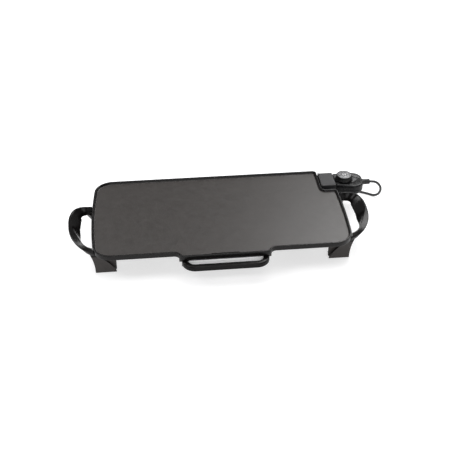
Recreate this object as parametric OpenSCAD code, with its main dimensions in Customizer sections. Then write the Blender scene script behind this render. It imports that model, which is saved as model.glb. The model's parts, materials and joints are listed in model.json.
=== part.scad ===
// Electric griddle with a plug-in heat control, pull-off end handles and a slide-out drip tray.
// Millimetres. +X to the right, +Y to the back, +Z up. The origin is on the table, below the middle
// of the whole griddle; every part is drawn about the middle of the plate and then set in place.

/* [Plate] */
// width of the plate from side to side
plate_w = 559; // [450:1:620]
// depth of the plate without the front bulge
plate_d = 287; // [240:1:330]
// height of the rim's top above the table
rim_z = 65; // [55:1:85]
// width of the rim
rim_t = 4.5; // [3:0.5:7]
// depth of the cooking surface below the rim's top
rim_h = 5; // [3:0.5:9]
// height of the rim's outer wall
wall_h = 11; // [9:1:18]
// thickness of the cooking floor
floor_t = 5.5; // [4:0.5:8]
// radius of the large corners
corner_r = 42; // [20:1:60]
// radius of the slightly bowed left and right sides
side_bow_r = 1400; // [900:10:4000]
// half length of the straight front of the drain bulge
bulge_x = 85.5; // [60:1:110]
// how far the drain bulge stands out
bulge_h = 14.5; // [8:0.5:20]
// length of each curve that leads into the bulge
bulge_run = 22; // [16:1:34]
// distance from the plate's middle to the side of the socket notch
notch_x = 244; // [220:1:256]
// distance from the plate's middle to the front of the socket notch
notch_y = 62; // [50:1:80]
// length of the drain slot
drain_l = 60; // [30:1:90]

/* [Heating] */
// radius of the heating tube
element_r = 4; // [3:0.1:5]
// radius of the terminal pins
pin_r = 2.4; // [1.8:0.1:3]
// distance between the terminal pins
pin_gap = 22; // [18:1:26]
// radius of the sensing probe
probe_r = 3; // [2.4:0.1:3.5]

/* [Handles] */
// furthest reach of a handle from the plate's middle
bow_x = 330; // [310:1:345]
// height of the handle's top edge
bow_z = 64; // [56:1:76]
// width of a foot
foot_w = 45; // [34:1:56]
// height of the foot pads
pad_h = 1; // [0.5:0.5:5]

/* [Drip tray] */
// inside half width of the tray
tray_x = 80; // [60:1:84]
// length of the tray
tray_l = 110; // [80:1:140]
// depth of the tray
tray_h = 19; // [12:1:24]
// half width of the tray's grip
grip_x = 91.5; // [70:0.5:96]
// front of the tray's grip, measured from the plate's middle
grip_y = 182; // [172:1:196]
// thickness of the grip bar, front to back
grip_t = 12.5; // [8:0.5:15]

/* [Heat control] */
// length of the control's housing
control_l = 65; // [54:1:76]
// radius of the control's rounded end
end_r = 22; // [18:0.5:26]
// radius of the knob at its foot
knob_r = 19.5; // [14:0.5:22]
// height of the knob's top above the table
knob_z = 79.5; // [76:0.5:92]

/* [Cord] */
// diameter of the cord
cord_d = 5.8; // [5:0.1:8]
// turns of the stored coil
coil_turns = 2; // [1:1:4]

/* [Hidden] */
$fn = 64;
eps = 0.01;
hw = plate_w / 2;
hd = plate_d / 2;
floor_z = rim_z - rim_h;                     // cooking surface
under_z = floor_z - floor_t;                 // underside of the floor
wall_z = rim_z - wall_h;                     // lower edge of the rim's outer wall
bulge_r = (bulge_run * bulge_run + bulge_h * bulge_h) / (4 * bulge_h);
bulge_y = hd + bulge_h;
small_r = 9;                                 // corners beside the notch
axis_z = under_z - element_r;                // heating tube, pins and probe
axis_y = 93;                                 // middle of the socket
bush_r = 4.5;
guard_x0 = notch_x + 0.3;
guard_x1 = guard_x0 + 33.7;
guard_y = [axis_y - 24, axis_y + 31];
guard_z0 = 40;
guard_z1 = 70;
body_x0 = guard_x1 + 2;                      // left end of the control's housing
body_x1 = body_x0 + control_l;
body_z0 = 42;
seam_z = 54;
body_z1 = 67;
sleeve_l = 18;
sleeve_y = axis_y + 3;
sleeve_z = 57;
knob_x = body_x0 + 21.5;
knob_y = axis_y + 4;
sleeve_x1 = body_x1 + sleeve_l;
rail_x = 94;
slide_gap = 0.1;
lip_z = 39.5;                                // underside of the tray's lips
tray_z = lip_z + 1.5;
tray_y0 = -154;
cord_r = cord_d / 2;
coil_r = 32;
coil_x = 170;
coil_y = 183;
place_x = -(sleeve_x1 - bow_x) / 2;
place_y = -(hd - grip_y) / 2;

black = [0.07, 0.07, 0.075];
coating = [0.22, 0.21, 0.21];
steel = [0.62, 0.62, 0.64];
rubber = [0.05, 0.05, 0.05];

// ---------- small helpers ----------
module set_in_place() translate([place_x, place_y, 0]) children();
module both_sides() { children(); mirror([1, 0, 0]) children(); }
module slab(z0, z1) translate([0, 0, z0]) linear_extrude(z1 - z0) children();
module box(a, b) translate(a) cube([b[0] - a[0], b[1] - a[1], b[2] - a[2]]);
module rod_x(x0, x1, y, z, r) translate([x0, y, z]) rotate([0, 90, 0]) cylinder(r = r, h = x1 - x0);
module rod_y(y0, y1, x, z, r) translate([x, y1, z]) rotate([90, 0, 0]) cylinder(r = r, h = y1 - y0);
module rod_z(z0, z1, x, y, r) translate([x, y, z0]) cylinder(r = r, h = z1 - z0);

// ---------- plate ----------
// middle of a corner arc of radius r that meets the bowed side and a straight edge at height y
function arc_x(r, y) = hw - side_bow_r + sqrt(pow(side_bow_r - r, 2) - y * y);

// the plate's outline, drawn in by i all round
module plate_2d(i = 0) {
  cx = arc_x(corner_r, hd - corner_r);
  cy = hd - corner_r;
  ty = cy * side_bow_r / (side_bow_r - corner_r);
  ex = arc_x(small_r, notch_y - small_r);
  difference() {
    union() {
      intersection() {
        square([plate_w, 2 * ty], center = true);
        translate([side_bow_r - hw, 0]) circle(r = side_bow_r - i, $fn = 720);
        translate([hw - side_bow_r, 0]) circle(r = side_bow_r - i, $fn = 720);
      }
      square([2 * cx, plate_d - 2 * i], center = true);
      for (p = [[-cx, cy], [-cx, -cy], [cx, -cy]]) translate(p) circle(r = corner_r - i, $fn = 96);
      bulge_2d(i);
      mirror([1, 0]) bulge_2d(i);
    }
    translate([notch_x - i, notch_y - i]) square([100, 200]);
    difference() {
      translate([ex, notch_y - small_r]) square([40, 40]);
      translate([ex, notch_y - small_r]) circle(r = small_r - i);
    }
  }
  // back right corner beside the notch
  translate([180, 0]) square([notch_x - small_r - 180, hd - i]);
  translate([180, 0]) square([notch_x - i - 180, hd - small_r]);
  translate([notch_x - small_r, hd - small_r]) circle(r = small_r - i);
  // rounded inner corner of the notch
  difference() {
    translate([notch_x - i - 1, notch_y - i - 1]) square(small_r + i + 1);
    translate([notch_x + small_r, notch_y + small_r]) circle(r = small_r + i);
  }
}

// right half of the drain bulge with its double curve
module bulge_2d(i = 0) {
  x2 = bulge_x + bulge_run;
  translate([-1, -(bulge_y - i)]) square([bulge_x + 1, bulge_y - hd + 20]);
  translate([bulge_x, -(bulge_y - bulge_r)]) circle(r = bulge_r - i);
  difference() {
    polygon([[bulge_x, -(bulge_y - bulge_r)], [bulge_x + bulge_run / 2, -(bulge_y + hd) / 2],
      [x2, -(hd - i)], [x2, -hd + 20], [bulge_x, -hd + 20]]);
    translate([x2, -(hd + bulge_r)]) circle(r = bulge_r + i);
  }
}

clamp_at = [[-80, 104, 0], [70, 104, 0], [-195, 0, 1], [170, -5, 1], [-128, -103, 0], [112, -103, 0]];
bracket_y = [-70, 30];
guard_screw_y = [axis_y - 17.5, axis_y + 17.5];
rail_screw_y = [-124, -56];

module griddle_plate() color(coating) {
  difference() {
    union() {
      slab(under_z, floor_z) plate_2d(1);
      slab(wall_z, rim_z) difference() { plate_2d(0); plate_2d(rim_t); }
      slab(floor_z - 1, floor_z + 1.6) difference() { plate_2d(rim_t - 1); plate_2d(rim_t + 2.5); }
      rod_x(184, notch_x - 2, axis_y, axis_z, 6.5);
      box([-drain_l / 2 - 4, -153.4, under_z - 3], [drain_l / 2 + 4, -142, under_z + 1]);
      both_sides() box([89, -149.5, 45], [96.5, -141.5, under_z + 1]);
      for (c = clamp_at) translate([c[0], c[1], 0]) rotate([0, 0, 90 * c[2]])
        for (s = [-1, 1]) rod_z(axis_z - element_r, under_z + 1, 0, s * 14, 5);
    }
    // drain slot against the front rim
    for (x = [-1, 1]) rod_z(under_z - 4, rim_z, x * (drain_l / 2 - 2.5), -149, 2.5);
    box([-drain_l / 2 + 2.5, -151.5, under_z - 4], [drain_l / 2 - 2.5, -146.5, rim_z]);
    // probe bore, bushing bores, screw holes
    rod_x(182, notch_x + 4, axis_y, axis_z, probe_r + 0.06);
    for (s = [-1, 1]) rod_x(236, notch_x + 4, axis_y + s * pin_gap / 2, axis_z, bush_r);
    for (y = guard_screw_y) rod_x(232, notch_x + 1, y, 57.2, 1.6);
    for (c = clamp_at) translate([c[0], c[1], 0]) rotate([0, 0, 90 * c[2]])
      for (s = [-1, 1]) rod_z(axis_z - element_r - 1, under_z + 3, 0, s * 14, 1.8);
    both_sides() {
      for (y = bracket_y) for (s = [-1, 1]) rod_z(under_z - 1, under_z + 3.5, 225, y + s * 21, 2);
      for (y = rail_screw_y) rod_z(under_z - 1, under_z + 3.5, rail_x + 6, y, 1.8);
    }
  }
}

// ---------- heating ----------
module bend(x, y, r, a0, a1) translate([x, y, axis_z]) rotate([0, 0, a0])
  rotate_extrude(angle = a1 - a0, $fn = 96) translate([r, 0]) circle(r = element_r, $fn = 32);

module heating_element() color([0.35, 0.35, 0.37]) {
  yb = axis_y + pin_gap / 2;
  ya = axis_y - pin_gap / 2;
  difference() {
    union() {
      rod_x(-150, 236, yb, axis_z, element_r);
      bend(-150, yb - 45, 45, 90, 180);
      rod_y(-58, yb - 45, -195, axis_z, element_r);
      bend(-150, -58, 45, 180, 270);
      rod_x(-150, 125, -103, axis_z, element_r);
      bend(125, -58, 45, 270, 360);
      rod_y(-58, ya - 40, 170, axis_z, element_r);
      bend(210, ya - 40, 40, 90, 180);
      rod_x(210, 236, ya, axis_z, element_r);
    }
    for (y = [ya, yb]) rod_x(228, 237, y, axis_z, pin_r);
  }
}

module element_clamps() color(steel)
  for (c = clamp_at) translate([c[0], c[1], 0]) rotate([0, 0, 90 * c[2]]) difference() {
    box([-6, -20, axis_z - element_r - 1.4], [6, 20, axis_z - element_r]);
    for (s = [-1, 1]) rod_z(30, 60, 0, s * 14, 1.8);
  }

module clamp_screws() color(steel)
  for (c = clamp_at) translate([c[0], c[1], 0]) rotate([0, 0, 90 * c[2]]) for (s = [-1, 1]) {
    rod_z(axis_z - element_r - 1.4, under_z + 3, 0, s * 14, 1.8);
    rod_z(axis_z - element_r - 3.2, axis_z - element_r - 1.4, 0, s * 14, 3.2);
  }

module terminal_pins() color([0.75, 0.72, 0.62])
  for (s = [-1, 1]) {
    rod_x(228, guard_x1 - 4, axis_y + s * pin_gap / 2, axis_z, pin_r);
    translate([guard_x1 - 4, axis_y + s * pin_gap / 2, axis_z]) rotate([0, 90, 0])
      cylinder(r1 = pin_r, r2 = 1.2, h = 2);
  }

module terminal_bushings() color([0.9, 0.88, 0.82])
  for (s = [-1, 1]) difference() {
    rod_x(236, guard_x0 + 5, axis_y + s * pin_gap / 2, axis_z, bush_r);
    rod_x(235, guard_x0 + 6, axis_y + s * pin_gap / 2, axis_z, pin_r);
  }

module socket_guard() color(black) {
  y0 = guard_y[0];
  y1 = guard_y[1];
  difference() {
    union() {
      box([guard_x0, y0, guard_z0], [guard_x1, y1, guard_z1]);
      box([notch_x, y0 + 2, guard_z0 + 4], [guard_x0 + 1, y1 - 2, rim_z - 6]);
    }
    box([guard_x0 + 3, y0 + 3, guard_z0 + 2.5], [guard_x1 + 1, y1 - 3, guard_z1 - 3.5]);
    rod_x(notch_x - 1, guard_x0 + 5, axis_y, axis_z, probe_r + 1);
    for (s = [-1, 1]) rod_x(notch_x - 1, guard_x0 + 5, axis_y + s * pin_gap / 2, axis_z, bush_r);
    for (y = guard_screw_y) rod_x(notch_x - 1, guard_x0 + 5, y, 57.2, 1.6);
    // shallow lip round the top
    box([guard_x0 + 2.5, y0 + 2.5, guard_z1 - 0.8], [guard_x1 + 1, y1 + 1, guard_z1 + 1]);
  }
}

module guard_screws() color(steel)
  for (y = guard_screw_y) {
    rod_x(232, guard_x0 + 3, y, 57.2, 1.6);
    rod_x(guard_x0 + 3, guard_x0 + 5, y, 57.2, 2.6);
  }

// ---------- fittings under the plate ----------
tongue_w = 24;
tongue_z0 = 44;
tongue_z1 = 49;
module handle_brackets() color(steel) both_sides() for (y = bracket_y) difference() {
  union() {
    box([205, y - 15, 41.4], [245, y + 15, under_z]);
    box([215, y - 26, under_z - 2], [235, y + 26, under_z]);
  }
  box([207.5, y - tongue_w / 2 - 0.15, tongue_z0 - slide_gap],
    [246, y + tongue_w / 2 + 0.15, tongue_z1 + slide_gap]);
  for (s = [-1, 1]) rod_z(under_z - 3, under_z + 1, 225, y + s * 21, 2);
}

module bracket_screws() color(steel) both_sides() for (y = bracket_y) for (s = [-1, 1]) {
  rod_z(under_z - 2, under_z + 3.5, 225, y + s * 21, 2);
  rod_z(under_z - 4.4, under_z - 2, 225, y + s * 21, 3.8);
}

module tray_rails() color(steel) both_sides() difference() {
  union() {
    box([82, -136, lip_z - 2.1], [rail_x + 2, -40, lip_z - slide_gap]);
    box([rail_x, -136, lip_z - 2.1], [rail_x + 2, -40, under_z]);
    box([rail_x, -136, under_z - 1.6], [rail_x + 12, -40, under_z]);
    box([82, -41.6, lip_z - 2.1], [rail_x + 2, -40, lip_z + 6]);
  }
  box([80, -109, 44.8], [rail_x + 20, -97, under_z + 1]);
  for (y = rail_screw_y) rod_z(under_z - 3, under_z + 1, rail_x + 6, y, 1.8);
}

module rail_screws() color(steel) both_sides() for (y = rail_screw_y) {
  rod_z(under_z - 1.6, under_z + 3.5, rail_x + 6, y, 1.8);
  rod_z(under_z - 3.6, under_z - 1.6, rail_x + 6, y, 3.2);
}

// ---------- handles ----------
// stations along the top outer edge, from the back round to the front:
// x, y, width of the top, inner lean, outer lean, drop of the outer edge, height of the bottom
bow = [
  [bow_x - 65, 46, 3.5, 2, 0, 0, 45],
  [bow_x - 45, 46.5, 3.5, 3, 1, 0, 45],
  [bow_x - 24, 46.5, 3.5, 12, 3, 0, 46],
  [bow_x - 10, 37, 3.5, 18, 7, 0, 46],
  [bow_x - 2.5, 19, 4, 22, 10, 0, 46],
  [bow_x, 0, 4.5, 22.5, 11, 0, 46],
  [bow_x - 0.4, -22, 6, 20, 11, 0, 46],
  [bow_x - 2.5, -44, 11, 15, 9, 0.5, 46.5],
  [bow_x - 8, -66, 14, 8, 7, 1.5, 50],
  [bow_x - 17, -86, 14, 3, 8, 2.5, 52],
  [bow_x - 28, -102, 12, 1, 7.5, 3.5, 51],
  [bow_x - 41, -114, 11, 0, 4, 4, 50.5],
  [bow_x - 59, -123, 11, 0, 2, 4, 49.5]
];
bow_sub = 4;
function mix(p0, p1, p2, p3, t) = 0.5 * (2 * p1 + (p2 - p0) * t
  + (2 * p0 - 5 * p1 + 4 * p2 - p3) * t * t + (3 * p1 - p0 - 3 * p2 + p3) * t * t * t);
function pick(list, k) = list[max(0, min(len(list) - 1, k))];
function along(list, k, sub) = let (a = floor(k / sub), t = k / sub - a)
  mix(pick(list, a - 1), pick(list, a), pick(list, a + 1), pick(list, a + 2), t);
bow_n = (len(bow) - 1) * bow_sub + 1;
bow_pts = [for (k = [0:bow_n - 1]) along(bow, k, bow_sub)];
function flat2(v) = [v[0], v[1]];
function inward(k) = let (d = flat2(pick(bow_pts, k + 1)) - flat2(pick(bow_pts, k - 1)))
  [d[1], -d[0]] / norm(d);
function bow_ring(k) = let (b = bow_pts[k], n = inward(k), p = flat2(b), w = b[2], zt = bow_z,
    zo = bow_z - b[5], zb = b[6], wi = w + b[3], wo = b[4])
  [for (q = [[w, zt - 1.2], [w - 1, zt], [1, zo], [0, zo - 1.5], [wo, zb + 1.5],
      [wo + 1, zb], [wi - 1.5, zb], [wi, zb + 2]]) [p[0] + n[0] * q[0], p[1] + n[1] * q[0], q[1]]];

// a closed skin over rings of equal count, with a flat cap on each end
module skin(rings) {
  m = len(rings[0]);
  n = len(rings);
  pts = [for (r = rings) for (p = r) p];
  sides = [for (k = [0:n - 2]) for (j = [0:m - 1]) for (h = [0, 1])
    let (a = k * m + j, b = k * m + (j + 1) % m)
    h == 0 ? [a, b, b + m] : [a, b + m, a + m]];
  caps = [[for (j = [m - 1:-1:0]) j], [for (j = [0:m - 1]) (n - 1) * m + j]];
  polyhedron(points = pts, faces = concat(sides, caps), convexity = 6);
}

front_y = -114;                              // face of the front legs
back_y = 128;                                // face of the back legs
leg_in = 228;                                // inner end of a foot
// the broad face of a leg: a rounded shoulder, with its outer edge carried up to the ear
module leg_2d(top, ear) difference() {
  union() {
    intersection() {
      translate([leg_in + 70.4, -24.6]) circle(r = 75, $fn = 180);
      translate([leg_in - 5, pad_h]) square([120, top - pad_h]);
    }
    translate([leg_in + 38, 30]) square([22, ear - 30]);
  }
  translate([leg_in + foot_w + 119, 5]) circle(r = 119, $fn = 180);
}
module leg(y, s, top, ear) translate([0, y, 0]) mirror([0, s < 0 ? 0 : 1, 0]) {
  // s < 0 faces the front, s > 0 faces the back; drawn with the face at y = 0
  rotate([90, 0, 0]) translate([0, 0, -4]) linear_extrude(4) leg_2d(top, ear);
  rotate([90, 0, 0]) translate([0, 0, -26]) linear_extrude(26) difference() {
    leg_2d(top, top);
    translate([-3.5, 0]) leg_2d(top, top);
    square([leg_in + 30, top + 1]);
  }
  // web set back behind the face, out to the inner edge
  slab(pad_h, top - 3) polygon([[leg_in + 36, 3], [leg_in + 34, 5], [leg_in, 9], [leg_in, 13],
    [leg_in + 5, 13], [leg_in + 36, 9]]);
  box([leg_in + 2, 2, pad_h], [leg_in + foot_w - 1, 24, pad_h + 3.5]);
  box([leg_in + 17, 1, top - 4], [leg_in + foot_w - 3, 26, top]);
}
pad_x = leg_in + 23;
pad_y = [front_y + 13, back_y - 13];

module handle_shape() difference() {
  union() {
    skin([for (k = [0:bow_n - 1]) bow_ring(k)]);
    leg(front_y, -1, 42, wall_z - 1);
    leg(back_y, 1, 38, 38);
    // mounting strip under the plate's edge, its two tongues and the rail to the back leg
    box([252, front_y + 4, 40], [273, 50, 50]);
    for (y = bracket_y) box([210, y - tongue_w / 2, tongue_z0], [253, y + tongue_w / 2, tongue_z1]);
    box([240, 28, 28], [262, back_y - 4, 38]);
    box([252, 28, 28], [262, 50, 50]);
    // fillet where the bow's back end meets the strip
    slab(41, 50) polygon([[270, 49], [292, 44], [284, 30], [273, 12], [270, 12]]);
    // web from the front leg up into the bow
    box([252, front_y + 2, 38], [271, front_y + 20, 50]);
  }
  slab(wall_z - 0.5, bow_z + 10) plate_2d(-0.5);
  for (y = pad_y) rod_z(0, 8, pad_x, y, 3);
  rod_z(36, 42, 262, -20, 1.6);
}

module left_handle() color(black) mirror([1, 0, 0]) handle_shape();
module right_handle() color(black) handle_shape();

// spring strip below one bracket, with a bump that stops the handle sliding off by itself
module latch_shape() {
  box([212, -26, 38.6], [268, -14, 40]);
  box([232, -26, 40], [238, -14, 41]);
  rod_z(37, 38.6, 262, -20, 3);
  rod_z(38.6, 42, 262, -20, 1.6);
}
module latch_strip() difference() {
  latch_shape();
  box([200, -30, 36], [246, -10, 38.5]);
}
module left_latch() color(steel) mirror([1, 0, 0]) latch_strip();
module right_latch() color(steel) latch_strip();

module pads() for (y = pad_y) {
  rod_z(0, pad_h, pad_x, y, 7);
  rod_z(pad_h, pad_h + 5, pad_x, y, 3);
}
module left_foot_pads() color(rubber) mirror([1, 0, 0]) pads();
module right_foot_pads() color(rubber) pads();

// ---------- drip tray ----------
module tray_2d(i) {
  r = 8;
  x = tray_x - r;
  y0 = tray_y0 + r;
  y1 = tray_y0 + tray_l - r;
  translate([-x, tray_y0 + i]) square([2 * x, tray_l - 2 * i]);
  translate([-tray_x + i, y0]) square([2 * (tray_x - i), y1 - y0]);
  for (p = [[-x, y0], [x, y0], [-x, y1], [x, y1]]) translate(p) circle(r = r - i);
}
module drip_tray() color([0.12, 0.12, 0.12]) difference() {
  union() {
    slab(tray_z - tray_h, tray_z) tray_2d(0);
    both_sides() box([tray_x - 3, -138, lip_z], [tray_x + 9, tray_y0 + tray_l - 8, tray_z]);
    box([-grip_x, tray_y0, 36], [grip_x, tray_y0 + 2, 50.5]);
  }
  difference() {
    slab(tray_z - tray_h + 1.6, tray_z + 1) tray_2d(2);
  }
  for (x = [-1, 1]) for (z = [43, 48]) rod_y(tray_y0 - 1, tray_y0 + 3, x * (grip_x - 5.5), z, 1.5);
}
// bright front panel that leans back between the grip's arms
module tray_faceplate() color([0.85, 0.85, 0.87]) rotate([90, 0, 90])
  translate([0, 0, -(grip_x - grip_t - 0.5)]) linear_extrude(2 * (grip_x - grip_t - 0.5))
    polygon([[tray_y0, 50.5], [tray_y0 - 1.2, 50.5], [tray_y0 - 6, 38.5], [tray_y0 - 6, 37],
      [tray_y0, 37]]);
module grip_2d(i) {
  r = 28;
  x = grip_x - r;
  translate([-x, -grip_y + i]) square([2 * x, grip_y + tray_y0 - i]);
  translate([-grip_x + i, -grip_y + r]) square([2 * (grip_x - i), grip_y + tray_y0 - r + eps]);
  for (s = [-1, 1]) translate([s * x, -grip_y + r]) intersection() {
    circle(r = r - i, $fn = 96);
    translate([-r, -r]) square([2 * r, r]);
  }
}
module tray_grip() color(black) difference() {
  slab(41.5, wall_z - 1) intersection() {
    difference() { grip_2d(0); grip_2d(grip_t); }
    translate([-100, -200]) square([200, 200 + tray_y0]);
  }
  for (x = [-1, 1]) for (z = [43, 48]) rod_y(tray_y0 - 6, tray_y0 + 3, x * (grip_x - 5.5), z, 1.5);
}
module grip_rivets() color(steel) for (x = [-1, 1]) for (z = [43, 48]) {
  rod_y(tray_y0 - 6, tray_y0 + 2, x * (grip_x - 5.5), z, 1.5);
  rod_y(tray_y0 + 2, tray_y0 + 3, x * (grip_x - 5.5), z, 2.2);
}

// ---------- heat control ----------
end_y = [axis_y - 6.5, axis_y + 9];          // middles of the two arcs of the rounded end
flare = 14;                                  // slope of the housing's front edge
// the housing's outline, drawn in by i: straight back, front edge flaring out to the rounded end
module control_2d(i) {
  r = end_r - i;
  cx = body_x1 - end_r;
  x0 = body_x0 + i;
  touch = [cx - r * sin(flare), end_y[0] - r * cos(flare)];
  polygon([[x0, touch[1] + (touch[0] - x0) * tan(flare)], touch, [cx, end_y[0]], [cx + r, end_y[0]],
    [cx + r, end_y[1]], [cx, end_y[1]], [cx, end_y[1] + r], [x0, end_y[1] + r]]);
  for (y = end_y) translate([cx, y]) circle(r = r);
}
// knob bay: a circle drawn out to a rounded point
module bay_2d() {
  r1 = knob_r + 0.5;
  r2 = 5;
  tip = [31.5, -2];
  lean = atan2(tip[1], tip[0]);
  a = acos((r1 - r2) / norm(tip));
  translate([knob_x, knob_y]) {
    circle(r = r1);
    translate(tip) circle(r = r2);
    polygon([r1 * [cos(lean + a), sin(lean + a)], tip + r2 * [cos(lean + a), sin(lean + a)],
      tip + r2 * [cos(lean - a), sin(lean - a)], r1 * [cos(lean - a), sin(lean - a)]]);
  }
}
// the pilot light's window beside the knob
module window_2d() translate([knob_x, knob_y])
  polygon([[20.7, 8], [32, -1], [13.5, -17.5], [19, -8.5], [21, -1]]);
post_r = 3.6;
post_at = [[body_x0 + 20, axis_y - 14], [body_x0 + 10, axis_y + 19.3], [body_x1 - 12, axis_y - 6]];
nose_y = [axis_y - 17.5, axis_y + 26.5];
module control_base() color(black) difference() {
  union() {
    slab(body_z0, body_z0 + 6) control_2d(4);
    slab(body_z0 + 6, seam_z) control_2d(0);
    box([guard_x0 + 8, nose_y[0], 43.5], [body_x0 + 4.5, nose_y[1], 63]);
  }
  slab(body_z0 + 2.5, 80) intersection() {
    control_2d(5.5);
    translate([body_x0 + 4.5, 0]) square([200, 200]);
  }
  rod_x(guard_x0, body_x0 + 7, axis_y, axis_z, probe_r);
  rod_x(body_x0 + 3, body_x0 + 7, axis_y, axis_z, probe_r + 1.6);
  for (s = [-1, 1]) rod_x(guard_x0, body_x0 + 7, axis_y + s * pin_gap / 2, axis_z, 4);
  for (p = post_at) rod_z(30, 50, p[0], p[1], 1.8);
  // notch for the cord's sleeve
  rod_x(body_x1 - 9, body_x1 + 1, sleeve_y, sleeve_z, 5.7);
}
module control_cover() color(black) difference() {
  union() {
    difference() {
      slab(seam_z, body_z1) control_2d(0);
      slab(seam_z - 1, body_z1 - 3) control_2d(3);
      // opening round the nose
      box([body_x0 - 1, nose_y[0], seam_z - 1], [body_x0 + 4.5, nose_y[1], 63]);
    }
    for (p = post_at) rod_z(body_z0 + 2.5, body_z1 - 2, p[0], p[1], post_r);
  }
  rod_z(40, 80, knob_x, knob_y, 3.06);
  for (p = post_at) rod_z(30, 58, p[0], p[1], 1.8);
  slab(body_z1 - 1.2, 80) bay_2d();
  slab(body_z1 - 5, 80) window_2d();
  rod_x(body_x1 - 4, body_x1 + 1, sleeve_y, sleeve_z, 4.5);
}
module pilot_lens() color([0.3, 0.3, 0.31]) slab(body_z1 - 5, body_z1 - 0.6) window_2d();
module sensing_probe() color([0.75, 0.75, 0.77]) {
  rod_x(190, body_x0 + 5.5, axis_y, axis_z, probe_r);
  translate([188, axis_y, axis_z]) rotate([0, 90, 0]) cylinder(r1 = 1.8, r2 = probe_r, h = 2);
  rod_x(body_x0 + 3, body_x0 + 5.5, axis_y, axis_z, probe_r + 1.6);
}
module contact_sockets() color([0.8, 0.65, 0.3])
  for (s = [-1, 1]) difference() {
    rod_x(guard_x0 + 9, body_x0 + 6, axis_y + s * pin_gap / 2, axis_z, 4);
    rod_x(guard_x0 + 8, guard_x1 - 1, axis_y + s * pin_gap / 2, axis_z, pin_r + 0.08);
  }
module thermostat_switch() color([0.85, 0.83, 0.78]) difference() {
  union() {
    box([body_x0 + 6, axis_y - 9, body_z0 + 2.5], [body_x0 + 36, axis_y + 15, 54]);
    rod_z(54, 59, knob_x, knob_y, 6);
    box([body_x0 + 5.5, axis_y - 4, 48], [body_x0 + 6.5, axis_y + 4, 54]);
  }
  rod_z(46, 80, knob_x, knob_y, 3.06);
}
module housing_screws() color(steel) for (p = post_at) {
  rod_z(body_z0 - 0, 57, p[0], p[1], 1.8);
  rod_z(body_z0 - 1.6, body_z0, p[0], p[1], 3.2);
}
module strain_relief() color(rubber) difference() {
  union() {
    rod_x(body_x1 - 7, body_x1 - 3, sleeve_y, sleeve_z, 5.6);
    rod_x(body_x1 - 3, body_x1, sleeve_y, sleeve_z, 4.5);
    rod_x(body_x1, body_x1 + 4, sleeve_y, sleeve_z, 6.8);
    translate([body_x1 + 4, sleeve_y, sleeve_z]) rotate([0, 90, 0])
      cylinder(r1 = 6.6, r2 = 6.2, h = sleeve_l - 4);
  }
  rod_x(body_x1 - 8, body_x1 + 80, sleeve_y, sleeve_z, cord_r);
  for (k = [0:2]) translate([body_x1 + 6.5 + 3.6 * k, sleeve_y, sleeve_z]) rotate([0, 90, 0])
    difference() { cylinder(r = 8, h = 1.2); translate([0, 0, -1]) cylinder(r = 5.2, h = 4); }
}

module control_knob() color(black) difference() {
  union() {
    translate([knob_x, knob_y, body_z1 + 0.6])
      cylinder(r1 = knob_r, r2 = knob_r - 2, h = knob_z - body_z1 - 1.4);
    translate([knob_x, knob_y, knob_z - 0.8]) cylinder(r1 = knob_r - 2, r2 = knob_r - 2.8, h = 0.8);
  }
  rod_z(0, knob_z - 5, knob_x, knob_y, 3);
  rod_z(knob_z - 1.4, knob_z + 1, knob_x, knob_y, knob_r - 3.6);
  for (k = [0:23]) translate([knob_x, knob_y, 0]) rotate([0, 0, 15 * k])
    rod_z(body_z1 + 3, knob_z + 1, knob_r - 0.4, 0, 1.6);
}
module dial_face() color([0.6, 0.6, 0.62]) {
  rod_z(knob_z - 1.4, knob_z - 0.4, knob_x, knob_y, knob_r - 3.6);
  for (s = [-1, 1]) translate([knob_x, knob_y, 0])
    box([s * 2.6 - 1.1, -3.4, knob_z - 0.5], [s * 2.6 + 1.1, 3.4, knob_z]);
}
module knob_shaft() color(steel) difference() {
  rod_z(48, knob_z - 5, knob_x, knob_y, 3);
  box([knob_x + 2, knob_y - 5, 47], [knob_x + 6, knob_y + 5, 53]);
}

// ---------- cord ----------
// hand-chosen route of the cord's middle, from the sleeve down to the table and on to the coil
route = [[body_x1, sleeve_y, sleeve_z], [sleeve_x1, sleeve_y, sleeve_z], [378, 96, 54.5],
  [389, 97, 44], [394, 101, 29], [392, 109, 12], [383, 117, cord_r + 0.6], [368, 128, cord_r],
  [348, 138, cord_r], [322, 145, cord_r], [290, 149, cord_r], [250, coil_y - coil_r, cord_r],
  [210, coil_y - coil_r, cord_r], [coil_x, coil_y - coil_r, cord_r]];
top_z = cord_r * (2 * coil_turns - 1);
plug_x = 122;
plug_z = 7.2;
tail = [[coil_x, coil_y - coil_r, top_z], [coil_x - 14, coil_y - coil_r, top_z],
  [coil_x - 28, coil_y - coil_r, (top_z + plug_z) / 2], [coil_x - 40, coil_y - coil_r, plug_z],
  [plug_x, coil_y - coil_r, plug_z]];
cord_sides = 12;
function unit(v) = v / norm(v);
function tube_ring(pts, k, r) = let (d = unit(pick(pts, k + 1) - pick(pts, k - 1)),
    a = unit(cross(d, [0, 0.02, 1])), b = cross(a, d))
  [for (j = [0:cord_sides - 1]) let (q = 360 * j / cord_sides) pts[k] + r * (a * cos(q) + b * sin(q))];
module tube(stations, sub) {
  pts = [for (k = [0:(len(stations) - 1) * sub]) along(stations, k, sub)];
  skin([for (k = [0:len(pts) - 1]) tube_ring(pts, k, cord_r)]);
}
module power_cord() color(rubber) {
  tube(route, 3);
  tube(tail, 2);
}
module cord_coil() color(rubber) for (k = [0:coil_turns - 1])
  translate([coil_x, coil_y, cord_r * (2 * k + 1)])
    rotate_extrude($fn = 96) translate([coil_r, 0]) circle(r = cord_r, $fn = 24);
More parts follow.
